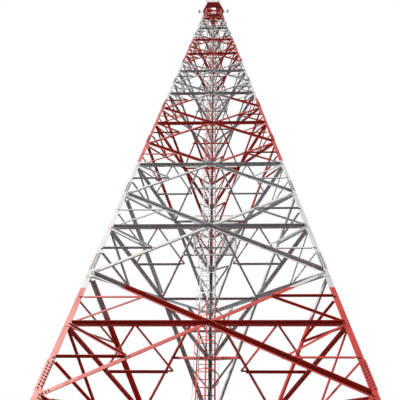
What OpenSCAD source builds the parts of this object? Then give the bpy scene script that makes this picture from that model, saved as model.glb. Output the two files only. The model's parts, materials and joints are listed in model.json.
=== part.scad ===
// Half-scale three-legged lattice radio tower.
// +Z is up and the front face looks along -Y. The origin is the middle of the
// underside of the back foot's base plate.

/* [Tower] */
// Width of a face at the foot, heel to heel
base_w = 4340; // [3800:20:5400]
// Width of a face at the top of the lattice, heel to heel
top_w = 830; // [780:10:1000]
// Height of the lowest panel
foot_panel_h = 2860; // [2400:10:3400]
// Height of the second panel
second_panel_h = 2690; // [2300:10:3300]
// Height of each of the ten panels above
panel_h = 2975; // [2600:5:3100]

/* [Legs] */
// Flange width of the leg angles, lower length
leg_w_lower = 84; // [75:1:102]
// Flange width of the leg angles, middle length
leg_w_middle = 71; // [64:1:88]
// Flange width of the leg angles, upper length
leg_w_upper = 58; // [54:1:72]
// Thickness of the leg angles
leg_t = 9; // [6:0.5:12]
// Length of a leg splice
splice_l = 540; // [300:10:600]
// Thickness of a leg splice
splice_t = 6; // [4:0.5:9]

/* [Face bracing] */
// Flange width of the diagonals in the lowest section
diagonal_w = 63; // [50:1:76]
// How much narrower the diagonals are in each section above
diagonal_step = 7; // [4:1:9]
// Flange width of the horizontals
horizontal_w = 46; // [36:1:52]
// Flange width of the short struts
strut_w = 32; // [24:1:38]
// Thickness of all face bracing
brace_t = 5; // [4:0.5:8]

/* [Plan bracing] */
// Width of the plan bracing bars
plan_w = 40; // [30:1:44]
// Depth of the plan bracing bars
plan_h = 34; // [26:1:44]
// Thickness of the plan bracing
plan_t = 5; // [4:0.5:8]

/* [Ladder] */
// Distance from the front face to the middle of the caged ladder
ladder_d = 535; // [500:5:650]
// Distance from the front face to the middle of the top ladder
top_ladder_d = 325; // [310:5:340]
// Clear width between the rails
ladder_w = 208; // [190:2:214]
// Thickness of a rail
rail_t = 8; // [6:1:12]
// Depth of a rail
rail_d = 30; // [24:1:34]
// Spacing of the rungs
rung_pitch = 150; // [125:5:175]
// Radius of a rung
rung_r = 5.5; // [4:0.5:8]
// Half length of the beam that carries the ladder
beam_half = 500; // [420:10:560]
// Depth and width of that beam
beam_w = 44; // [34:1:50]

/* [Cage] */
// Outer radius of the cage hoops
cage_r = 175; // [160:1:178]
// Thickness of hoops and straps
cage_t = 4; // [3:0.5:5]
// Height of a hoop
hoop_h = 26; // [18:1:34]
// Width of a strap
strap_w = 22; // [16:1:28]
// Spacing of the hoops
hoop_pitch = 580; // [450:10:700]
// Clearance between the cage and the plan bracing on either side of it
bay_gap = 15; // [8:1:40]

/* [Platforms] */
// Half width of a rest platform
rest_half = 515; // [470:5:550]
// Height of the handrails above a floor
rail_h = 600; // [500:10:700]
// Radius of handrail tubes and posts
tube_r = 11; // [9:0.5:14]
// Radius of the top deck, to its corners
deck_r = 650; // [620:5:750]
// Depth of the top deck's frame
deck_frame_h = 40; // [30:1:60]

/* [Antennas] */
// Distance of the antenna pipes from the tower's middle
pipe_reach = 830; // [800:10:950]
// Height of an antenna pipe
pipe_h = 820; // [700:10:950]
// Radius of an antenna pipe
pipe_r = 17; // [14:1:24]
// Height of a panel antenna
panel_antenna_h = 640; // [500:10:680]
// Height of the lightning rod above the deck
rod_h = 1900; // [1200:50:2400]

/* [Feet] */
// Distance from the heel of a leg to the middle of its base plate
foot_in = 48; // [40:1:60]
// Side of a base plate
foot_w = 270; // [240:5:320]
// Thickness of a base plate
foot_t = 24; // [18:1:32]
// Diameter of the anchor bolt circle
bolt_circle = 290; // [270:5:310]
// Radius of an anchor bolt hole
bolt_hole_r = 13; // [10:0.5:15]

/* [Hidden] */
$fn = 32;
PANELS = 12;
PER_SECTION = 3;
LEGS = ["back", "left", "right"];

red = "#a8322c";
white = "#e6e8ec";
steel = "#8d9196";
grey = "#c9d0da";
black = "#26282b";

small = 0.3;       // running gap where two pieces seat on each other
far = 100000;      // longer than anything in the model
heel_gap = 4;      // bracing plates stop this short of a leg's outer corner
cut_back = 70;     // outstanding flanges stop this short of a bar's end
root = 1;          // an outstanding flange stands this far in from its bar's edge
// the rising diagonal's flange is broken this far round a crossing
splice_gap = diagonal_w + 25;

function panel_base(i) =
    i == 0 ? 0 : i == 1 ? foot_panel_h : foot_panel_h + second_panel_h + (i - 2) * panel_h;
lattice_h = panel_base(PANELS);
face_in = (base_w - top_w) / (2 * sqrt(3));
face_lean = atan(face_in / lattice_h);
leg_lean = atan(2 * face_in / lattice_h);
// half the angle between a leg's flanges that lays them in the two faces
flange_turn = atan((cos(60) * cos(leg_lean) + tan(face_lean) * sin(leg_lean)) / sin(60));
base_r = base_w / sqrt(3);
axis_y = foot_in - base_r;

function width_at(z) = base_w - (base_w - top_w) * z / lattice_h;
function inner_r(z) = width_at(z) / (2 * sqrt(3));
// up the slope of a face to height z
function up(z) = z / cos(face_lean);
function section_of(i) = floor(i / PER_SECTION);
// flange width of the diagonals in section k
function bar_w(k) = diagonal_w - k * diagonal_step;
function leg_w_at(z) =
    z < panel_base(4) ? leg_w_lower : z < panel_base(8) ? leg_w_middle : leg_w_upper;
// from a face's middle to the line on which the bracing meets the leg
function work_x(z) = width_at(z) / 2 - leg_w_at(z) / 2;
// height at which the two diagonals of a panel cross
function cross_z(i) =
    let (a = panel_base(i), b = panel_base(i + 1), wa = work_x(a), wb = work_x(b))
    a + (b - a) * wa / (wa + wb);
// underside of the inner edge of the horizontal at a crossing
function shelf_z(i) =
    (up(cross_z(i)) - brace_t / 2) * cos(face_lean) - horizontal_w * sin(face_lean) - small / 2;
// distance of that edge from the tower's axis
function shelf_r(i) = inner_r(cross_z(i)) - horizontal_w * cos(face_lean);

module on_axis() translate([0, axis_y, 0]) children();
// a face's own frame: X along it, Y up its slope, Z outwards
module on_face(turn)
    on_axis() rotate([0, 0, turn]) translate([0, -base_w / (2 * sqrt(3)), 0])
        rotate([90 - face_lean, 0, 0]) children();

function face_turn(name) = name == "front" ? 0 : name == "right" ? 120 : 240;
function leg_turn(name) = name == "back" ? 0 : name == "left" ? 120 : 240;

// ---- legs ----

function turned(p, a) = [p[0] * cos(a) - p[1] * sin(a), p[0] * sin(a) + p[1] * cos(a)];

// two flanges that meet at the heel, which is moved outwards by back
module v_section(w, t, back)
    translate([back, 0])
        polygon([
            [0, 0],
            turned([-w, 0], flange_turn), turned([-w, t], flange_turn),
            [-t / sin(flange_turn), 0],
            turned([-w, -t], -flange_turn), turned([-w, 0], -flange_turn)
        ]);

// the leg's frame: Z along the heel line, X outwards from the tower
module on_leg(turn)
    on_axis() rotate([0, 0, 90 + turn]) translate([base_r, 0, 0]) rotate([0, -leg_lean, 0]) children();

module height_band(z0, z1)
    on_axis() translate([-base_w, -base_w, z0]) cube([2 * base_w, 2 * base_w, z1 - z0]);

module leg(turn, z0, z1, w)
    intersection() {
        on_leg(turn) translate([0, 0, z0 - 200])
            linear_extrude((z1 - z0) / cos(leg_lean) + 400) v_section(w, leg_t, 0);
        height_band(z0, z1);
    }

function length_z(k) = k == 0 ? foot_t : panel_base(4 * k);

module leg_length(name, k)
    color(k == 1 ? white : red)
        leg(leg_turn(name), length_z(k), k == 2 ? lattice_h : length_z(k + 1),
            [leg_w_lower, leg_w_middle, leg_w_upper][k]);

// a splice starts above the gusset and above the diagonal that leaves the leg there
function splice_z(i) =
    let (w = bar_w(section_of(i)), run = work_x(panel_base(i)) + work_x(panel_base(i + 1)),
         slope = (panel_base(i + 1) - panel_base(i)) / run)
    panel_base(i) + 6 + max(w * 1.7, leg_w_at(panel_base(i)) / 2 * slope + w / 2 * sqrt(1 + slope * slope));
// and ends below the first strut
function splice_len(i) =
    min(splice_l, (panel_base(i) + cross_z(i)) / 2 - strut_w / 2 - 12 - splice_z(i));

// plates on the outside of both flanges, above every panel point
module leg_splices()
    color(steel)
        for (name = LEGS, i = [1:PANELS - 1])
            let (w = leg_w_at(panel_base(i)) - 4)
                on_leg(leg_turn(name)) translate([0, 0, splice_z(i) / cos(leg_lean)])
                    linear_extrude(splice_len(i))
                        difference() {
                            v_section(w + splice_t, splice_t, splice_t / sin(flange_turn));
                            translate([-far, -far / 2]) square([far - w, far]);
                        }

module base_plates()
    color(steel)
        for (name = LEGS)
            on_axis() rotate([0, 0, 90 + leg_turn(name)]) translate([base_r - foot_in, 0, 0])
                difference() {
                    translate([-foot_w / 2, -foot_w / 2, 0]) cube([foot_w, foot_w, foot_t]);
                    for (a = [45:90:315])
                        rotate([0, 0, a]) translate([bolt_circle / 2, 0, -1])
                            cylinder(r = bolt_hole_r, h = foot_t + 2);
                }

// ---- face bracing ----

// a flat bar from p to q
module flat(p, q, w)
    let (d = q - p)
        translate(p) rotate(atan2(d[1], d[0])) translate([0, -w / 2]) square([norm(d), w]);

// the flange that stands on such a bar, just inside one of its edges; a short bar is a plain flat
module flange(p, q, w, side, outward, gap_p, gap_q)
    let (d = q - p, h = w - brace_t / 2, y = w / 2 - brace_t - root, l = norm(d) - gap_p - gap_q)
        if (l > w)
            translate([p[0], p[1], brace_t / 2 - (outward ? 0 : h)]) rotate([0, 0, atan2(d[1], d[0])])
                translate([gap_p, side > 0 ? y : -y - brace_t, 0]) cube([l, brace_t, h]);

// how far from the leg's work point a bar's inner flange clears the leg
function leg_gap(p, q, w, z) = (leg_w_at(z) / 2 + w / 2 + 12) * norm(q - p) / abs(q[0] - p[0]);

function at(x, z) = [x, up(z)];

module panel_flats(i, w)
    let (a = panel_base(i), b = panel_base(i + 1), c = cross_z(i),
         xa = work_x(a), xb = work_x(b), xc = work_x(c)) {
        for (s = [-1, 1]) {
            flat(at(-s * xa, a), at(s * xb, b), w);
            flat(at(s * xa / 2, (a + c) / 2), at(s * work_x((a + c) / 2), (a + c) / 2), strut_w);
            flat(at(s * xb / 2, (c + b) / 2), at(s * work_x((c + b) / 2), (c + b) / 2), strut_w);
            flat(at(s * xa / 2, (a + c) / 2), at(s * xc, c), strut_w);
            flat(at(s * xb / 2, (c + b) / 2), at(s * xc, c), strut_w);
            // gussets at the leg and at the middle of each half diagonal
            for (z = [a, b])
                translate(at(s * (width_at(z) / 2 - w * 0.95), z)) square([w * 1.9, w * 3.4], center = true);
            translate(at(s * (xc - w * 0.35), c)) square([w * 1.4, w * 1.9], center = true);
            translate(at(s * xa / 2, (a + c) / 2)) square(w * 1.1, center = true);
            translate(at(s * xb / 2, (c + b) / 2)) square(w * 1.1, center = true);
        }
        flat(at(-xc, c), at(xc, c), horizontal_w);
        translate(at(0, c)) square([w * 2.6, w * 2], center = true);
    }

module strut_flange(p, q, z, side, outward)
    flange(p, q, strut_w, side, outward, cut_back / 2,
        outward ? cut_back / 2 : leg_gap(p, q, strut_w, z));

module panel_flanges(i, w)
    let (a = panel_base(i), b = panel_base(i + 1), c = cross_z(i),
         xa = work_x(a), xb = work_x(b), xc = work_x(c), low = (a + c) / 2, high = (c + b) / 2,
         gap_a = leg_gap(at(xa, a), at(0, c), w, a), gap_b = leg_gap(at(xb, b), at(0, c), w, b),
         // the horizontal's flanges end on the gusset, or where they clear those of the next face
         gap_c = max(w * 0.9, horizontal_w * sqrt(3) + 4 - leg_w_at(c) / 2)) {
        // falling diagonal outside, rising diagonal inside and broken at the crossing
        flange(at(-xb, b), at(xa, a), w, 1, true, cut_back, cut_back);
        flange(at(-xa, a), at(0, c), w, 1, false, gap_a, splice_gap);
        flange(at(0, c), at(xb, b), w, 1, false, splice_gap, gap_b);
        // the horizontal has a flange outside, and one inside, on its middle, that makes a level shelf
        flange(at(-xc, c), at(xc, c), horizontal_w, 1, true, gap_c, gap_c);
        translate([-xc + gap_c, up(c) - brace_t / 2, -horizontal_w])
            cube([2 * xc - 2 * gap_c, brace_t, horizontal_w + brace_t / 2]);
        // struts on the rising diagonal stand outwards, those behind the falling one inwards
        for (s = [-1, 1]) {
            strut_flange(at(s * xa / 2, low), at(s * work_x(low), low), low, s, s < 0);
            strut_flange(at(s * xb / 2, high), at(s * work_x(high), high), high, s, s > 0);
            strut_flange(at(s * xa / 2, low), at(s * xc, c), c, s, s < 0);
            strut_flange(at(s * xb / 2, high), at(s * xc, c), c, s, s > 0);
        }
    }

module face_bracing(name, k)
    let (first = k * PER_SECTION, last = first + PER_SECTION,
         z0 = max(panel_base(first), foot_t + 1), z1 = panel_base(last),
         w = bar_w(k))
        color(k % 2 == 0 ? red : white)
            on_face(face_turn(name)) {
                linear_extrude(brace_t)
                    intersection() {
                        for (i = [first:last - 1]) panel_flats(i, w);
                        polygon([for (s = [-1, 1], z = s < 0 ? [z0, z1] : [z1, z0])
                            [s * (width_at(z) / 2 - heel_gap), up(z)]]);
                    }
                for (i = [first:last - 1]) panel_flanges(i, w);
            }

// ---- plan bracing ----

function mid(p, q) = (p + q) / 2;
// a triangle's three lines between the middles of its sides
function middles(a, b, c) = [[mid(a, b), mid(b, c)], [mid(b, c), mid(c, a)], [mid(c, a), mid(a, b)]];

module plan_flats(lines, w) for (line = lines) flat(line[0], line[1], w);

module plan_edges(lines, w)
    for (line = lines)
        let (d = line[1] - line[0])
            translate([line[0][0], line[0][1], plan_t - plan_h]) rotate([0, 0, atan2(d[1], d[0])])
                translate([cut_back, root - w / 2, 0])
                    cube([norm(d) - 2 * cut_back, plan_t, plan_h - plan_t / 2]);

module plan_level(i)
    let (r = 2 * inner_r(cross_z(i)), clip = inner_r(cross_z(i)) - 12, bay = cage_r + bay_gap + plan_w / 2,
         back = [0, r], left = r * [cos(210), sin(210)], right = r * [cos(330), sin(330)],
         front = mid(left, right),
         // the two bars from the front leave a bay for the ladder between them
         main = [[front + [bay, 0], mid(right, back)], [mid(right, back), mid(back, left)],
             [mid(back, left), front - [bay, 0]]],
         corners = i < 4 ? [for (t = [[back, mid(back, left), mid(right, back)],
             [left, front, mid(back, left)], [right, mid(right, back), front]])
             each middles(t[0], t[1], t[2])] : [])
        on_axis() translate([0, 0, shelf_z(i) - plan_t]) {
            linear_extrude(plan_t)
                intersection() {
                    union() {
                        plan_flats(main, plan_w);
                        plan_flats(corners, strut_w);
                    }
                    polygon([for (a = [90, 210, 330]) 2 * clip * [cos(a), sin(a)]]);
                }
            plan_edges(main, plan_w);
            plan_edges(corners, strut_w);
        }

module plan_bracing(k)
    color(k == 1 ? red : white)
        for (i = [4 * k:4 * k + 3]) plan_level(i);

// ---- ladder and cage, in the front face's frame ----

caged_top = panel_base(10) + 400;
top_ladder_base = panel_base(10) - 500;
top_ladder_end = lattice_h + rail_h;
rail_x = ladder_w / 2 + rail_t / 2;
// from the ladder's middle plane forward to the cage's axis
hoop_back = sqrt(cage_r * cage_r - rail_x * rail_x) - rail_t;

module ladder(z0, z1, d)
    on_face(0) {
        for (s = [-1, 1])
            translate([s * rail_x - rail_t / 2, up(z0), -d - rail_d / 2])
                cube([rail_t, up(z1) - up(z0), rail_d]);
        for (y = [ceil(up(z0 + 60) / rung_pitch) * rung_pitch:rung_pitch:up(z1) - 20])
            translate([-ladder_w / 2 - rail_t / 2, y, -d]) rotate([0, 90, 0])
                cylinder(r = rung_r, h = ladder_w + rail_t);
    }

function ladder_z(k) = k == 0 ? 150 : k == 3 ? caged_top : panel_base(4 * k) + 600;

module ladder_length(k)
    color(k == 1 ? white : red)
        ladder(ladder_z(k) + (k > 0 ? small : 0), ladder_z(k + 1), ladder_d);

module top_ladder()
    color(red) ladder(top_ladder_base, top_ladder_end, top_ladder_d);

// a beam behind the rails at every crossing, under the plan bracing
module ladder_beams()
    color(steel)
        for (i = [0:PANELS - 1])
            let (d = (i < 10 ? ladder_d : top_ladder_d) + rail_d / 2,
                 z = shelf_z(i) - plan_h - beam_w,
                 y = -inner_r(z + beam_w) + d / cos(face_lean) + small,
                 half = min(beam_half, (width_at(z) / 2 - (d + beam_w) / sqrt(3)) - horizontal_w * 1.6))
                on_axis() translate([-half, y, z]) {
                    cube([2 * half, brace_t, beam_w]);
                    translate([0, 0, beam_w - brace_t]) cube([2 * half, beam_w, brace_t]);
                }

hoop_start = -acos((rail_x + rail_t / 2 + small) / (cage_r - cage_t));
STRAPS = [0, 45, 90, 135, 180];

function arc_from(s) = s == 0 ? hoop_start : STRAPS[s] - 22.5 + 0.08;
function arc_to(s) = s == 4 ? 180 - hoop_start : STRAPS[s] + 22.5 - 0.08;

module cage(z0, z1)
    on_face(0) translate([0, 0, -ladder_d + hoop_back]) rotate([-90, 0, 0])
        for (s = [0:4]) {
            for (y = [up(z0) + 40:hoop_pitch:up(z1) - hoop_h])
                translate([0, 0, y]) rotate([0, 0, -arc_to(s)])
                    rotate_extrude(angle = arc_to(s) - arc_from(s))
                        translate([cage_r - cage_t, 0]) square([cage_t, hoop_h]);
            rotate([0, 0, -STRAPS[s]]) translate([cage_r - 2 * cage_t + 1, -strap_w / 2, up(z0)])
                cube([cage_t, strap_w, up(z1) - up(z0)]);
        }

cage_foot = 1250;

function cage_z(k) = k == 0 ? cage_foot : k == 3 ? caged_top : panel_base(4 * k) + 300;

module cage_length(k)
    color(k == 1 ? white : red) cage(cage_z(k) + (k > 0 ? small : 0), cage_z(k + 1));

// ---- rest platforms ----

rail_r = tube_r * 0.8;

REST = [2, 5, 8];
floor_h = 18;
floor_bar = 6;
BARS = 9;
beside_cage = 30;  // gap between the cage and a floor
side_walk = 75;    // width of the narrow floor

function rest_front(i) = -shelf_r(i) + small;
function rest_back(i) = -inner_r(shelf_z(i)) + ladder_d + rail_d / 2 + 4;
function rest_side(i) =
    min(rest_half, width_at(shelf_z(i)) / 2 - (ladder_d + rail_d) / sqrt(3) - horizontal_w * 1.6);

// a grating on the right of the cage, and a narrow one on its left that carries the handrail
module rest_floor(i)
    let (y0 = rest_front(i), y1 = rest_back(i), x0 = cage_r + beside_cage)
        on_axis() translate([0, 0, shelf_z(i)]) {
            grating(x0, rest_side(i), y0, y1);
            grating(-x0 - side_walk, -x0, y0, y1);
        }

module grating(x0, x1, y0, y1) {
    translate([x0, y0, 0])
        difference() {
            cube([x1 - x0, y1 - y0, floor_h]);
            translate([floor_bar, floor_bar, -1])
                cube([x1 - x0 - 2 * floor_bar, y1 - y0 - 2 * floor_bar, floor_h + 2]);
        }
    for (n = [1:BARS])
        translate([x0 + 1, y0 + n * (y1 - y0) / (BARS + 1), floor_h / 3])
            cube([x1 - x0 - 2, floor_bar, floor_h * 0.6]);
}

module rest_platforms() color(steel) for (i = REST) rest_floor(i);

module tube(p, q, r)
    let (d = q - p)
        translate(p) rotate([0, atan2(norm([d[0], d[1]]), d[2]), atan2(d[1], d[0])])
            cylinder(r = r, h = norm(d), $fn = 16);

module rest_handrail(i)
    let (x0 = -cage_r - beside_cage - side_walk + tube_r, x1 = rest_side(i) - tube_r,
         y0 = rest_front(i) + 62, y1 = rest_back(i) - tube_r,
         z0 = shelf_z(i) + floor_h, z1 = z0 + rail_h)
        on_axis() {
            for (x = [x0, x1], y = [y0, y1]) tube([x, y, z0], [x, y, z1], tube_r);
            for (f = [0.5, 1])
                let (z = z0 + f * rail_h - tube_r) {
                    for (x = [x0, x1]) tube([x, y0, z], [x, y1, z], rail_r);
                    tube([x0, y0, z], [x1, y0, z], rail_r);
                }
        }

module rest_handrails() color(white) for (i = REST) rest_handrail(i);

// ---- top deck ----

deck_z = lattice_h + small;
hatch = 150;       // half the width of the way up through the deck
deck_ring = 34;    // width of the deck's outer frame
deck_bar = 16;     // width of the bars inside it
rail_in = 26;      // handrail's distance in from the deck's corners
// the rod stands over the back leg, or clear of the handrail on a small deck
rod_y = min(2 * inner_r(deck_z) - 40, (deck_r - rail_in) * cos(30) - 60);

module hexagon(r) circle(r = r, $fn = 6);

module deck_frame()
    color(red)
        on_axis() translate([0, 0, deck_z])
            linear_extrude(deck_frame_h)
                intersection() {
                    union() {
                        difference() {
                            hexagon(deck_r);
                            hexagon(deck_r - deck_ring);
                        }
                        for (s = [-1, 1])
                            translate([s * (hatch + deck_bar + 4) - deck_bar / 2, -far])
                                square([deck_bar, 2 * far]);
                        for (y = [-inner_r(deck_z) - 6, top_ladder_d - inner_r(deck_z) + 30, rod_y])
                            translate([-far, y - deck_bar / 2]) square([2 * far, deck_bar]);
                    }
                    hexagon(deck_r);
                }

module deck_floor()
    color(red)
        on_axis() translate([0, 0, deck_z + deck_frame_h])
            linear_extrude(5)
                difference() {
                    hexagon(deck_r);
                    translate([-hatch, -inner_r(deck_z) + 10])
                        square([2 * hatch, top_ladder_d + rail_d / 2 + 12]);
                }

deck_top = deck_z + deck_frame_h + 5;

module deck_handrail()
    color(red)
        on_axis() {
            for (a = [0:60:300])
                let (p = (deck_r - rail_in) * [cos(a), sin(a)],
                     q = (deck_r - rail_in) * [cos(a + 60), sin(a + 60)]) {
                    tube([p[0], p[1], deck_top], [p[0], p[1], deck_top + rail_h], tube_r);
                    for (f = [0.5, 1])
                        let (z = deck_top + f * rail_h - tube_r)
                            tube([p[0], p[1], z], [q[0], q[1], z], rail_r);
                }
        }

// ---- antennas and top fittings ----

arm_t = 30;        // thickness of an antenna arm
arm_under = 60;    // how far the lower arm reaches under the deck's frame
arm_drop = 45;     // depth of the lower arm

module antenna_mounts()
    color(steel)
        on_axis()
            for (a = [0:60:300])
                rotate([0, 0, a]) {
                    translate([deck_r + small, -arm_t / 2, deck_z + 5])
                        cube([pipe_reach - deck_r, arm_t, arm_t]);
                    translate([deck_r - arm_under, -arm_t / 2, deck_z - arm_drop + small])
                        cube([pipe_reach - deck_r + arm_under, arm_t, arm_drop - 2 * small]);
                    translate([pipe_reach, 0, deck_z - 110]) cylinder(r = pipe_r, h = pipe_h);
                }

module panel_antennas()
    color(grey)
        on_axis()
            for (a = [0:60:300])
                rotate([0, 0, a])
                    translate([pipe_reach + pipe_r + small, -72, deck_z + 40])
                        cube([62, 144, panel_antenna_h]);

module lightning_rod()
    color(steel)
        on_axis() translate([0, rod_y, deck_top]) {
            cylinder(r = 24, h = 10);
            cylinder(r = 9, h = rod_h * 0.6);
            cylinder(r = 5, h = rod_h);
        }

module obstruction_lamp()
    color("#b3241d")
        on_axis() translate([hatch + 20, rod_y - 130, deck_top]) {
            cylinder(r = 14, h = rail_h);
            translate([0, 0, rail_h - 60]) cylinder(r = 48, h = 30);
            translate([0, 0, rail_h - 30]) cylinder(r = 38, h = 130);
        }

// ---- feeder cables, clipped inside the back leg ----

cable_r = 5.5;
cable_in = 50;     // from the heel, along the flange

module feeder_cables()
    color(black)
        for (s = [-1, 1])
            on_leg(0) rotate([0, 0, s * flange_turn])
                translate([-cable_in, s * (leg_t + cable_r + small), 600])
                    cylinder(r = cable_r, h = lattice_h - 700);

base_plates();
leg_length("back", 0);  // leg_back_lower
leg_length("back", 1);  // leg_back_middle
leg_length("back", 2);  // leg_back_upper
leg_length("left", 0);  // leg_left_lower
leg_length("left", 1);  // leg_left_middle
leg_length("left", 2);  // leg_left_upper
leg_length("right", 0);  // leg_right_lower
leg_length("right", 1);  // leg_right_middle
leg_length("right", 2);  // leg_right_upper
leg_splices();
face_bracing("front", 0);  // front_bracing_1
face_bracing("front", 1);  // front_bracing_2
face_bracing("front", 2);  // front_bracing_3
face_bracing("front", 3);  // front_bracing_4
face_bracing("right", 0);  // right_bracing_1
face_bracing("right", 1);  // right_bracing_2
face_bracing("right", 2);  // right_bracing_3
face_bracing("right", 3);  // right_bracing_4
face_bracing("left", 0);  // left_bracing_1
face_bracing("left", 1);  // left_bracing_2
face_bracing("left", 2);  // left_bracing_3
face_bracing("left", 3);  // left_bracing_4
plan_bracing(0);  // plan_bracing_lower
plan_bracing(1);  // plan_bracing_middle
plan_bracing(2);  // plan_bracing_upper
ladder_length(0);  // ladder_lower
ladder_length(1);  // ladder_middle
ladder_length(2);  // ladder_upper
top_ladder();  // ladder_top
ladder_beams();
cage_length(0);  // cage_lower
cage_length(1);  // cage_middle
cage_length(2);  // cage_upper
rest_platforms();
rest_handrails();
deck_frame();
deck_floor();
deck_handrail();
antenna_mounts();
panel_antennas();
lightning_rod();
obstruction_lamp();
feeder_cables();
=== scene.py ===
import bpy
import json
import math
import numpy as np
from mathutils import Matrix, Vector


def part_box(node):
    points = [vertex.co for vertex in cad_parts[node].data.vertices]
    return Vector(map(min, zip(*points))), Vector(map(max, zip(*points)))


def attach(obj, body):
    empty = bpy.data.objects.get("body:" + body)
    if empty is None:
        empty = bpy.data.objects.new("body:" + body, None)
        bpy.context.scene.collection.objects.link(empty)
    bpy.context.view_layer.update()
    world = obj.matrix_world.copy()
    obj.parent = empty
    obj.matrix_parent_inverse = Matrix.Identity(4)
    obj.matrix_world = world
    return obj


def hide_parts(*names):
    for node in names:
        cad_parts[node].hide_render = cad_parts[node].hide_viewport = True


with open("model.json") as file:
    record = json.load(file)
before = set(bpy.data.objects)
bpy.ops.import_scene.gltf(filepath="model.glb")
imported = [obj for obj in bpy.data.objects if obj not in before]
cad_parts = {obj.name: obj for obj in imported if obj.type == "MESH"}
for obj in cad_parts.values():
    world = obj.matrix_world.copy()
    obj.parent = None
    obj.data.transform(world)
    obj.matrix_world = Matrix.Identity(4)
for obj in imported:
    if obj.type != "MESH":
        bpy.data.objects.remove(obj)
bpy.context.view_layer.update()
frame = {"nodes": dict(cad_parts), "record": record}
print("frame loaded:", len(frame["nodes"]), "nodes")

# The tower's own measures, in metres, as the frame has them.
tower = {
    "footWidth": 4.34,        # a face at the foot, heel to heel
    "topWidth": 0.83,         # the same at the top of the lattice
    "panels": [2.86, 2.69] + [2.975] * 10,
    "heelInset": 0.048,       # from the back leg's heel to the origin
    "legFlange": [0.084, 0.071, 0.058],
    "diagonal": [0.063, 0.056, 0.049, 0.042],   # flange width of the diagonals, by section
    "strut": 0.032,
    "horizontal": 0.046,
    "braceThickness": 0.005,
    "ladderInside": 0.535,    # from the front face to the caged ladder
    "topLadderInside": 0.325,
    "railX": 0.108,
    "bandHeight": 5.143,      # seven equal paint bands in 36 m
}
panelBase = [0.0]
for height in tower["panels"]:
    panelBase.append(panelBase[-1] + height)
latticeTop = panelBase[-1]
taper = (tower["footWidth"] - tower["topWidth"]) / latticeTop
faceLean = math.atan(taper / (2 * math.sqrt(3)))
legLean = math.atan(taper / math.sqrt(3))
axisY = tower["heelInset"] - tower["footWidth"] / math.sqrt(3)
faceTurns = {"front": 0, "right": 120, "left": 240}
legTurns = {"back": 90, "left": 210, "right": 330}


def widthAt(z):
    return tower["footWidth"] - taper * z


def legFlangeAt(z):
    length = 0 if z < panelBase[4] - 1e-6 else 1 if z < panelBase[8] - 1e-6 else 2
    return tower["legFlange"][length]


def workX(z):
    return widthAt(z) / 2 - legFlangeAt(z) / 2


def crossZ(i):
    low, high = panelBase[i], panelBase[i + 1]
    return low + (high - low) * workX(low) / (workX(low) + workX(high))


def faceMatrix(face):
    # X along the face, Y up its slope, Z outwards, origin at the foot of its middle line
    return (Matrix.Translation((0, axisY, 0))
            @ Matrix.Rotation(math.radians(faceTurns[face]), 4, "Z")
            @ Matrix.Translation((0, -tower["footWidth"] / (2 * math.sqrt(3)), 0))
            @ Matrix.Rotation(math.pi / 2 - faceLean, 4, "X"))


def upSlope(z):
    return z / math.cos(faceLean)


# Small helpers

def deselectAll():
    if bpy.context.object and bpy.context.object.mode != "OBJECT":
        bpy.ops.object.mode_set(mode="OBJECT")
    bpy.ops.object.select_all(action="DESELECT")


def linearColour(hexColour):
    channels = [int(hexColour[k:k + 2], 16) / 255 for k in (1, 3, 5)]
    return [c / 12.92 if c <= 0.04045 else ((c + 0.055) / 1.055) ** 2.4 for c in channels] + [1.0]


def addNode(tree, kind, settings=None, links=None):
    made = tree.nodes.new(kind)
    for key, value in (settings or {}).items():
        if isinstance(key, int) or key in made.inputs:
            made.inputs[key].default_value = value
        else:
            setattr(made, key, value)
    for key, source in (links or {}).items():
        tree.links.new(source, made.inputs[key])
    return made


def newMaterial(name, roughness, metallic=0.0, colour=None, ior=None):
    material = bpy.data.materials.new(name)
    material.use_nodes = True
    tree = material.node_tree
    shader = tree.nodes["Principled BSDF"]
    shader.inputs["Roughness"].default_value = roughness
    shader.inputs["Metallic"].default_value = metallic
    if colour:
        shader.inputs["Base Color"].default_value = linearColour(colour)
    if ior:
        shader.inputs["IOR"].default_value = ior
    coords = addNode(tree, "ShaderNodeTexCoord").outputs["Object"]
    return material, tree, shader, coords


def colourRamp(tree, factor, stops):
    ramp = addNode(tree, "ShaderNodeValToRGB", links={"Fac": factor})
    elements = ramp.color_ramp.elements
    while len(elements) < len(stops):
        elements.new(0.5)
    for element, (position, colour) in zip(elements, stops):
        element.position = position
        element.color = linearColour(colour)
    return ramp.outputs["Color"]


def setMaterial(obj, material):
    obj.data.materials.clear()
    obj.data.materials.append(material)


def finishPiece(obj, name, material):
    obj.name = name
    obj.data.name = name
    setMaterial(obj, material)
    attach(obj, "root")
    return obj


# Materials

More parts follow.
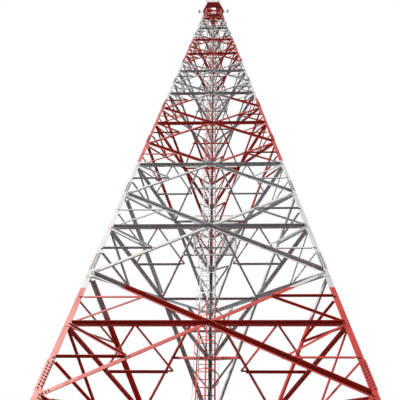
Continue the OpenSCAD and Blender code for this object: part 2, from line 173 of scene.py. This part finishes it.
def bandedPaint():
    # Alkyd paint on galvanised steel angles: chalky satin, faded a little by the sun, with small scattered rust
    # spots and runs of dirt. Dirt and fading are drawn coarser than real so that they show.
    material, tree, shader, coords = newMaterial("bandedAlkydPaint", 0.5, ior=1.5)
    height = addNode(tree, "ShaderNodeSeparateXYZ", links={0: coords}).outputs["Z"]
    bands = addNode(tree, "ShaderNodeMath", {"operation": "DIVIDE", 1: tower["bandHeight"] * 2}, {0: height})
    share = addNode(tree, "ShaderNodeMath", {"operation": "FRACT"}, {0: bands.outputs[0]})
    isWhite = addNode(tree, "ShaderNodeMath", {"operation": "GREATER_THAN", 1: 0.5}, {0: share.outputs[0]})
    fading = addNode(tree, "ShaderNodeTexNoise", {"Scale": 1.6, "Detail": 5.0, "Roughness": 0.6}, {"Vector": coords})
    red = colourRamp(tree, fading.outputs["Fac"], [(0.3, "#b5281f"), (0.5, "#be3027"), (0.72, "#c63e35")])
    white = colourRamp(tree, fading.outputs["Fac"], [(0.3, "#bfc2c7"), (0.5, "#c9cbcf"), (0.72, "#d2d3d5")])
    paint = addNode(tree, "ShaderNodeMix", {"data_type": "RGBA"},
                    {0: isWhite.outputs[0], 6: red, 7: white})
    stretched = addNode(tree, "ShaderNodeMapping", {"Scale": (14.0, 14.0, 1.2)}, {"Vector": coords})
    runs = addNode(tree, "ShaderNodeTexNoise", {"Scale": 1.0, "Detail": 6.0, "Roughness": 0.65},
                   {"Vector": stretched.outputs[0]})
    runShare = addNode(tree, "ShaderNodeMapRange", {1: 0.58, 2: 0.8, 3: 0.0, 4: 0.45}, {0: runs.outputs["Fac"]})
    dirty = addNode(tree, "ShaderNodeMix", {"data_type": "RGBA", 7: linearColour("#6d5d52")},
                    {0: runShare.outputs[0], 6: paint.outputs[2]})
    spots = addNode(tree, "ShaderNodeTexNoise", {"Scale": 22.0, "Detail": 4.0, "Roughness": 0.7}, {"Vector": coords})
    spotShare = addNode(tree, "ShaderNodeMapRange", {1: 0.68, 2: 0.74, 3: 0.0, 4: 0.8}, {0: spots.outputs["Fac"]})
    rusty = addNode(tree, "ShaderNodeMix", {"data_type": "RGBA", 7: linearColour("#6f3a24")},
                    {0: spotShare.outputs[0], 6: dirty.outputs[2]})
    tree.links.new(rusty.outputs[2], shader.inputs["Base Color"])
    sheen = addNode(tree, "ShaderNodeMapRange", {1: 0.3, 2: 0.7, 3: 0.42, 4: 0.62}, {0: runs.outputs["Fac"]})
    tree.links.new(sheen.outputs[0], shader.inputs["Roughness"])
    peel = addNode(tree, "ShaderNodeTexNoise", {"Scale": 160.0, "Detail": 2.0}, {"Vector": coords})
    bump = addNode(tree, "ShaderNodeBump", {"Strength": 0.12, "Distance": 0.002}, {"Height": peel.outputs["Fac"]})
    tree.links.new(bump.outputs[0], shader.inputs["Normal"])
    return material


def galvanisedSteel():
    # Hot-dip zinc: dull grey with a spangle of 12 mm crystals and a white bloom where water stood.
    material, tree, shader, coords = newMaterial("hotDipGalvanisedSteel", 0.45, 0.85)
    spangle = addNode(tree, "ShaderNodeTexVoronoi", {"Scale": 80.0}, {"Vector": coords})
    zinc = colourRamp(tree, spangle.outputs["Color"], [(0.0, "#7d8287"), (0.5, "#979b9f"), (1.0, "#b0b4b6")])
    bloom = addNode(tree, "ShaderNodeTexNoise", {"Scale": 6.0, "Detail": 5.0}, {"Vector": coords})
    bloomShare = addNode(tree, "ShaderNodeMapRange", {1: 0.5, 2: 0.75, 3: 0.0, 4: 0.5}, {0: bloom.outputs["Fac"]})
    colour = addNode(tree, "ShaderNodeMix", {"data_type": "RGBA", 7: linearColour("#c4c6c4")},
                     {0: bloomShare.outputs[0], 6: zinc})
    tree.links.new(colour.outputs[2], shader.inputs["Base Color"])
    rough = addNode(tree, "ShaderNodeMapRange", {1: 0.3, 2: 0.7, 3: 0.38, 4: 0.6}, {0: bloom.outputs["Fac"]})
    tree.links.new(rough.outputs[0], shader.inputs["Roughness"])
    return material


def fibreglassCover():
    # Gel-coated fibreglass antenna cover: pale blue grey, matt, a little chalky.
    material, tree, shader, coords = newMaterial("gelCoatedFibreglass", 0.5, ior=1.5)
    chalk = addNode(tree, "ShaderNodeTexNoise", {"Scale": 9.0, "Detail": 5.0}, {"Vector": coords})
    colour = colourRamp(tree, chalk.outputs["Fac"], [(0.3, "#b4bfd0"), (0.7, "#ccd4df")])
    tree.links.new(colour, shader.inputs["Base Color"])
    bump = addNode(tree, "ShaderNodeBump", {"Strength": 0.08, "Distance": 0.002}, {"Height": chalk.outputs["Fac"]})
    tree.links.new(bump.outputs[0], shader.inputs["Normal"])
    return material


def cableSheath():
    # Black polyethylene feeder sheath with dust and fine scuffs along it.
    material, tree, shader, coords = newMaterial("blackPolyethylene", 0.48, ior=1.51)
    dust = addNode(tree, "ShaderNodeTexNoise", {"Scale": 18.0, "Detail": 5.0}, {"Vector": coords})
    colour = colourRamp(tree, dust.outputs["Fac"], [(0.35, "#17181a"), (0.75, "#34353a")])
    tree.links.new(colour, shader.inputs["Base Color"])
    return material


def lampGlass():
    # Red pressed glass of an aviation lantern.
    material, tree, shader, coords = newMaterial("redPressedGlass", 0.12, colour="#c4180f", ior=1.52)
    shader.inputs["Transmission Weight"].default_value = 0.6
    ribs = addNode(tree, "ShaderNodeTexWave", {"bands_direction": "Z", "Scale": 30.0}, {"Vector": coords})
    bump = addNode(tree, "ShaderNodeBump", {"Strength": 0.3, "Distance": 0.003}, {"Height": ribs.outputs["Fac"]})
    tree.links.new(bump.outputs[0], shader.inputs["Normal"])
    return material


def dirtyAndShadedBolt():
    # Galvanised bolts gone dull and brown with dirt, their colour also darkened as painted shade for the shadows
    # around the bolt heads: darker than the paint around them.
    material, tree, shader, coords = newMaterial("boltSteelDirtAndPaintedShade", 0.6, 0.6)
    rust = addNode(tree, "ShaderNodeTexNoise", {"Scale": 35.0, "Detail": 4.0}, {"Vector": coords})
    # dark ramp: dirt and rust on the bolts, plus painted shade standing in for the shadows around the heads
    colour = colourRamp(tree, rust.outputs["Fac"], [(0.35, "#4a4440"), (0.7, "#6a5145")])
    tree.links.new(colour, shader.inputs["Base Color"])
    return material


paint = bandedPaint()
boltSteel = dirtyAndShadedBolt()
zinc = galvanisedSteel()
cover = fibreglassCover()
sheath = cableSheath()
redGlass = lampGlass()
slotMaterials = {"painted_steel": paint, "galvanised_steel": zinc, "antenna_cover": cover,
                 "cable_sheath": sheath, "lamp": redGlass}
for part in frame["record"]["subparts"]:
    setMaterial(frame["nodes"][part["node"]], slotMaterials[part["material_slot"]])
print("materials set")


# Bolts

def hexBolt(radius, height):
    deselectAll()
    bpy.ops.mesh.primitive_cylinder_add(vertices=6, radius=radius, depth=height, location=(0, 0, height / 2))
    bolt = bpy.context.object
    bpy.ops.object.mode_set(mode="EDIT")
    bpy.ops.mesh.select_all(action="DESELECT")
    bpy.ops.object.mode_set(mode="OBJECT")
    for face in bolt.data.polygons:
        face.select = face.normal.z > 0.9
    bpy.ops.object.mode_set(mode="EDIT")
    bpy.ops.mesh.inset(thickness=radius * 0.2)
    bpy.ops.transform.translate(value=(0, 0, height * 0.12))
    bpy.ops.object.mode_set(mode="OBJECT")
    bpy.ops.object.transform_apply()
    return bolt


def scatter(template, places, name, material):
    # one joined mesh: the template's own mesh copied to every place
    points = np.array([v.co for v in template.data.vertices])
    faces = [list(f.vertices) for f in template.data.polygons]
    allPoints, allFaces = [], []
    for k, place in enumerate(places):
        turn = np.array(place)
        allPoints.append(points @ turn[:3, :3].T + turn[:3, 3])
        allFaces += [[v + k * len(points) for v in f] for f in faces]
    mesh = bpy.data.meshes.new(name)
    mesh.from_pydata(np.vstack(allPoints).tolist(), [], allFaces)
    mesh.update()
    piece = bpy.data.objects.new(name, mesh)
    bpy.context.collection.objects.link(piece)
    return finishPiece(piece, name, material)


boltDesign = {"radius": 0.0105, "height": 0.009, "pitch": 0.055, "splicePlate": 0.006}


def facePlaces(face):
    # bolts on gussets and at bar ends, on the outside of one face
    local = []
    for i in range(len(tower["panels"])):
        a, b, c = panelBase[i], panelBase[i + 1], crossZ(i)
        xa, xb, xc = workX(a), workX(b), workX(c)
        wide = tower["diagonal"][i // 3]
        for side in (-1, 1):
            ends = [((side * xa, a), (-side * xb, b)), ((side * xb, b), (-side * xa, a))]
            for start, end in ends:
                along = Vector((end[0] - start[0], upSlope(end[1]) - upSlope(start[1])))
                along.normalize()
                for step in (0.045, 0.085, 0.125, 0.165):
                    local.append((start[0] + along.x * step, upSlope(start[1]) + along.y * step))
            for step in (0.03, 0.065, 0.1):
                local.append((side * (xc - step), upSlope(c) - 0.006))
            for x, z in ((xa / 2, (a + c) / 2), (xb / 2, (b + c) / 2)):
                for dx, dy in ((-0.02, 0.016), (0.02, -0.016), (0.028, 0.012)):
                    local.append((side * (x + dx), upSlope(z) + dy))
                for step in (0.012, 0.04):
                    local.append((side * (workX(z) - step), upSlope(z) - 0.004))
        for dx in (-wide, -wide / 2, wide / 2, wide):
            for dy in (-wide * 0.75, wide * 0.75):
                local.append((dx, upSlope(c) + dy))
    base = faceMatrix(face)
    return [base @ Matrix.Translation((x, y, tower["braceThickness"])) for x, y in local if y > 0.12]


def spliceSpan(i):
    # above the gusset and the diagonal that leaves the leg there, and below the first strut
    wide = tower["diagonal"][i // 3]
    low, high = panelBase[i], panelBase[i + 1]
    slope = (high - low) / (workX(low) + workX(high))
    start = low + 0.006 + max(wide * 1.7, legFlangeAt(low) / 2 * slope + wide / 2 * math.hypot(1, slope))
    end = (low + crossZ(i)) / 2 - tower["strut"] / 2 - 0.012
    return start, min(start + 0.54, end)


def splicePlaces(face):
    # two staggered rows on each leg flange, above every panel point
    base = faceMatrix(face)
    places = []
    for i in range(1, len(tower["panels"])):
        start, end = spliceSpan(i)
        rows = int((end - start - 0.04) / boltDesign["pitch"])
        for side in (-1, 1):
            for row, inset in enumerate((0.3, 0.74)):
                for n in range(rows):
                    z = start + 0.03 + boltDesign["pitch"] * (n + row / 2)
                    x = side * (widthAt(z) / 2 - legFlangeAt(panelBase[i]) * inset)
                    places.append(base @ Matrix.Translation((x, upSlope(z), boltDesign["splicePlate"])))
    return places


bolt = hexBolt(boltDesign["radius"], boltDesign["height"])
for face in faceTurns:
    scatter(bolt, facePlaces(face) + splicePlaces(face), face + "FaceBolts", boltSteel)
bpy.data.objects.remove(bolt)
print("bolts placed")


# Ladder cleats, cable clamps and gratings

def block(low, high):
    deselectAll()
    size = [high[k] - low[k] for k in range(3)]
    middle = [(high[k] + low[k]) / 2 for k in range(3)]
    bpy.ops.mesh.primitive_cube_add(size=1, location=middle)
    made = bpy.context.object
    made.scale = size
    bpy.ops.object.transform_apply(location=True, rotation=True, scale=True)
    return made


def bevelled(piece, width):
    deselectAll()
    piece.select_set(True)
    bpy.context.view_layer.objects.active = piece
    bevel = piece.modifiers.new("edge", "BEVEL")
    bevel.width = width
    bevel.segments = 2
    bpy.ops.object.modifier_apply(modifier=bevel.name)
    return piece


def shelfZ(i):
    # underside of the inner edge of the horizontal at a crossing
    return ((upSlope(crossZ(i)) - tower["braceThickness"] / 2) * math.cos(faceLean)
            - tower["horizontal"] * math.sin(faceLean) - 0.00015)


def innerAt(z):
    return widthAt(z) / (2 * math.sqrt(3))


cleat = bevelled(block((-0.014, -0.030, -0.016), (0.014, 0.012, 0.016)), 0.002)
cleatPlaces = []
for i in range(len(tower["panels"])):
    inside = tower["ladderInside"] if i < 10 else tower["topLadderInside"]
    z = shelfZ(i) - 0.056
    y = axisY - innerAt(z) + (inside + 0.015) / math.cos(faceLean) - 0.002
    for side in (-1, 1):
        cleatPlaces.append(Matrix.Translation((side * tower["railX"], y, z)))
scatter(cleat, cleatPlaces, "ladderCleats", zinc)
bpy.data.objects.remove(cleat)

clampDesign = {"first": 1.1, "pitch": 0.8, "count": 42, "fromHeel": 0.052}
clamp = bevelled(block((-0.009, -0.026, -0.011), (0.009, 0.026, 0.011)), 0.003)
backLeg = (Matrix.Translation((0, axisY, 0)) @ Matrix.Rotation(math.pi / 2, 4, "Z")
           @ Matrix.Translation((tower["footWidth"] / math.sqrt(3), 0, 0))
           @ Matrix.Rotation(-legLean, 4, "Y"))
clampPlaces = [backLeg @ Matrix.Translation((-clampDesign["fromHeel"], 0,
                                              clampDesign["first"] + n * clampDesign["pitch"]))
               for n in range(clampDesign["count"])]
scatter(clamp, clampPlaces, "cableClamps", sheath)
bpy.data.objects.remove(clamp)

gratingDesign = {"pitch": 0.022, "bar": 0.003, "height": 0.012, "crossPitch": 0.05, "crossHeight": 0.005,
                 "rightSide": (0.205, 0.515), "leftSide": (-0.280, -0.205)}
gratings = []
for i in (2, 5, 8):
    z = shelfZ(i) + 0.003
    front = axisY - (innerAt(crossZ(i)) - tower["horizontal"] * math.cos(faceLean)) + 0.006
    back = axisY - innerAt(shelfZ(i)) + tower["ladderInside"] + 0.013
    right = min(gratingDesign["rightSide"][1],
                widthAt(shelfZ(i)) / 2 - (tower["ladderInside"] + 0.03) / math.sqrt(3) - tower["horizontal"] * 1.6)
    for x0, x1 in ((gratingDesign["rightSide"][0], right), gratingDesign["leftSide"]):
        x = x0 + gratingDesign["pitch"]
        while x < x1 - 0.01:
            gratings.append(((x, (front + back) / 2, z),
                             (gratingDesign["bar"], back - front, gratingDesign["height"])))
            x += gratingDesign["pitch"]
        y = front + gratingDesign["crossPitch"]
        while y < back - 0.02:
            gratings.append((((x0 + x1) / 2, y, z + 0.008),
                             (x1 - x0 - 0.008, gratingDesign["bar"], gratingDesign["crossHeight"])))
            y += gratingDesign["crossPitch"]
bar = block((-0.5, -0.5, -0.5), (0.5, 0.5, 0.5))
scatter(bar, [Matrix.Translation(place) @ Matrix.Diagonal((*size, 1)) for place, size in gratings],
        "restGratings", zinc)
bpy.data.objects.remove(bar)
print("cleats, clamps and gratings placed")


# Feet

stiffenerDesign = {"thickness": 0.008, "reach": 0.095, "height": 0.13, "plateTop": 0.024}
anchorRing = 0.145    # radius of the anchor bolt circle
deselectAll()
bpy.ops.mesh.primitive_cylinder_add(vertices=3, radius=1, depth=1)
stiffener = bpy.context.object
for vertex in stiffener.data.vertices:
    # the three sides become the heel, the far end on the plate and the top against the leg
    angle = math.degrees(math.atan2(vertex.co.y, vertex.co.x))
    across, tall = (0, 0) if abs(angle - 90) < 20 else (1, 0) if angle < 0 and vertex.co.x > 0 else (0, 1)
    side = 0.5 if vertex.co.z > 0 else -0.5
    vertex.co = (across * stiffenerDesign["reach"], side * stiffenerDesign["thickness"],
                 stiffenerDesign["plateTop"] + tall * stiffenerDesign["height"])
deselectAll()
stiffener.select_set(True)
bpy.context.view_layer.objects.active = stiffener
bpy.ops.object.mode_set(mode="EDIT")
bpy.ops.mesh.select_all(action="SELECT")
bpy.ops.mesh.normals_make_consistent(inside=False)
bpy.ops.object.mode_set(mode="OBJECT")
footPlaces = {name: Matrix.Translation((0, axisY, 0)) @ Matrix.Rotation(math.radians(turn), 4, "Z")
              @ Matrix.Translation((tower["footWidth"] / math.sqrt(3) - tower["heelInset"], 0, 0))
              for name, turn in legTurns.items()}
stiffeners, nuts = [], []
for place in footPlaces.values():
    for turn in (0, 120, 240):
        stiffeners.append(place @ Matrix.Translation((0.040 if turn == 0 else -0.012, 0, 0))
                          @ Matrix.Rotation(math.radians(turn), 4, "Z"))
    for turn in (45, 135, 225, 315):
        nuts.append(place @ Matrix.Rotation(math.radians(turn), 4, "Z")
                    @ Matrix.Translation((anchorRing, 0, stiffenerDesign["plateTop"])))
scatter(stiffener, stiffeners, "footStiffeners", paint)
bpy.data.objects.remove(stiffener)

nutDesign = {"washer": 0.024, "acrossCorners": 0.0205, "nut": 0.020, "thread": 0.012, "stickOut": 0.055}
deselectAll()
bpy.ops.mesh.primitive_cylinder_add(vertices=24, radius=nutDesign["washer"], depth=0.004, location=(0, 0, 0.002))
washer = bpy.context.object
deselectAll()
bpy.ops.mesh.primitive_cylinder_add(vertices=6, radius=nutDesign["acrossCorners"], depth=nutDesign["nut"],
                                    location=(0, 0, 0.004 + nutDesign["nut"] / 2))
nut = bevelled(bpy.context.object, 0.002)
deselectAll()
bpy.ops.mesh.primitive_cylinder_add(vertices=20, radius=nutDesign["thread"], depth=nutDesign["stickOut"],
                                    location=(0, 0, nutDesign["stickOut"] / 2))
thread = bevelled(bpy.context.object, 0.002)
deselectAll()
for part in (washer, nut, thread):
    part.select_set(True)
bpy.context.view_layer.objects.active = washer
bpy.ops.object.join()
anchor = bpy.context.object
deselectAll()
anchor.select_set(True)
bpy.ops.object.transform_apply(location=True, rotation=True, scale=True)
scatter(anchor, nuts, "anchorNuts", zinc)
bpy.data.objects.remove(anchor)
print("feet dressed")


# Deck, antennas and lamp

deckTop = latticeTop + 0.0003 + 0.045
lampDesign = {"poleRadius": 0.013, "baseRadius": 0.047, "baseHeight": 0.026,
              "glassRadius": 0.036, "glassHeight": 0.105}
lampLow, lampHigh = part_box("obstruction_lamp")
lampX, lampY = (lampLow[0] + lampHigh[0]) / 2, (lampLow[1] + lampHigh[1]) / 2
glassTop = lampHigh[2] - 0.012


def turnedPiece(name, radius, low, high, material, edge=0.002):
    deselectAll()
    bpy.ops.mesh.primitive_cylinder_add(vertices=40, radius=radius, depth=high - low,
                                        location=(lampX, lampY, (low + high) / 2))
    piece = bpy.context.object
    bpy.ops.object.transform_apply(location=True, rotation=True, scale=True)
    bevelled(piece, edge)
    deselectAll()
    piece.select_set(True)
    bpy.context.view_layer.objects.active = piece
    bpy.ops.object.shade_smooth_by_angle(angle=math.radians(35))
    return finishPiece(piece, name, material)


glassLow = glassTop - lampDesign["glassHeight"]
pole = turnedPiece("lampPole", lampDesign["poleRadius"], deckTop, glassLow - lampDesign["baseHeight"], zinc)
lampBase = turnedPiece("lampBase", lampDesign["baseRadius"], glassLow - lampDesign["baseHeight"], glassLow, zinc,
                       0.004)
glass = turnedPiece("lampGlass", lampDesign["glassRadius"], glassLow, glassTop, redGlass, 0.012)
lampCap = turnedPiece("lampCap", lampDesign["glassRadius"] + 0.001, glassTop - 0.006, glassTop + 0.012, zinc,
                      0.004)
for piece in (pole, lampBase, glass, lampCap):
    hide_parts("obstruction_lamp")

bracketDesign = {"low": 0.12, "high": 0.60}
bracket = bevelled(block((0.800, -0.026, -0.018), (0.851, 0.026, 0.018)), 0.003)
bracketPlaces = []
for turn in range(0, 360, 60):
    for lift in (bracketDesign["low"], bracketDesign["high"]):
        bracketPlaces.append(Matrix.Translation((0, axisY, latticeTop + lift))
                             @ Matrix.Rotation(math.radians(turn), 4, "Z"))
scatter(bracket, bracketPlaces, "antennaBrackets", zinc)
bpy.data.objects.remove(bracket)
print("top dressed")


# Stage, light and camera

deselectAll()
bpy.ops.mesh.primitive_circle_add(vertices=96, radius=60, fill_type="NGON", location=(0, axisY, 0))
floor = bpy.context.object
floor.name = "floor"
floorPaint = newMaterial("paleFloor", 0.9, colour="#e9e9e7")[0]
setMaterial(floor, floorPaint)
floor.visible_diffuse = False   # keeps the undersides as dark as over open ground

world = bpy.data.worlds.new("paleSky")
bpy.context.scene.world = world
world.use_nodes = True
skyTree = world.node_tree
# bright behind the tower, dimmer in front of it so that the sun models the flanges, dark below
direction = addNode(skyTree, "ShaderNodeSeparateXYZ",
                    links={0: addNode(skyTree, "ShaderNodeTexCoord").outputs["Generated"]})
behind = addNode(skyTree, "ShaderNodeMapRange", {1: -0.6, 2: 0.1, 3: 0.0, 4: 1.0},
                 {0: direction.outputs["Y"]})
above = addNode(skyTree, "ShaderNodeMapRange", {1: -0.04, 2: 0.06, 3: 0.0, 4: 1.0},
                {0: direction.outputs["Z"]})
skySide = addNode(skyTree, "ShaderNodeMix", {"data_type": "RGBA", 6: linearColour("#8f959c"),
                                             7: linearColour("#ffffff")}, {0: behind.outputs[0]})
skyColour = addNode(skyTree, "ShaderNodeMix", {"data_type": "RGBA", 6: linearColour("#2b2725")},
                    {0: above.outputs[0], 7: skySide.outputs[2]})
skyTree.links.new(skyColour.outputs[2], skyTree.nodes["Background"].inputs["Color"])
skyTree.nodes["Background"].inputs["Strength"].default_value = 1.0


def addSun(name, energy, angle, fromDirection, colour="#ffffff"):
    deselectAll()
    bpy.ops.object.light_add(type="SUN", location=(0, 0, 40))
    lamp = bpy.context.object
    lamp.name = name
    lamp.data.energy = energy
    lamp.data.angle = math.radians(angle)
    lamp.data.color = linearColour(colour)[:3]
    lamp.rotation_mode = "QUATERNION"
    lamp.rotation_quaternion = Vector(fromDirection).to_track_quat("Z", "Y")
    return lamp


addSun("keyLight", 5.0, 1.5, (-0.75, -1.0, 1.3), "#fff8f0")

viewpoint = {
    "fromAxis": (0.165, -6.395, -2.355),   # lower than the feet, as from a hollow below the tower
    "yaw": -3.64, "pitch": 63.0, "roll": 2.88,
    "focalShare": 603.0 / 400.0,
}
bpy.ops.object.camera_add()
camera = bpy.context.object
camera.data.sensor_width = 36.0
camera.data.lens = viewpoint["focalShare"] * camera.data.sensor_width
camera.data.clip_start = 5.0     # skips the floor that lies between this viewpoint and the tower
camera.data.clip_end = 500.0
x, y, z = viewpoint["fromAxis"]
camera.location = (x, y + axisY, z)
yaw, pitch, roll = (math.radians(viewpoint[k]) for k in ("yaw", "pitch", "roll"))
forward = Vector((math.sin(yaw) * math.cos(pitch), math.cos(yaw) * math.cos(pitch), math.sin(pitch)))
right = Vector((math.cos(yaw), -math.sin(yaw), 0.0))
up = right.cross(forward)
rolledRight = math.cos(roll) * right + math.sin(roll) * up
rolledUp = -math.sin(roll) * right + math.cos(roll) * up
camera.rotation_mode = "QUATERNION"
camera.rotation_quaternion = Matrix((rolledRight, rolledUp, -forward)).transposed().to_quaternion()
bpy.context.scene.camera = camera
bpy.context.scene.view_settings.view_transform = "Standard"
print("camera and lights set")
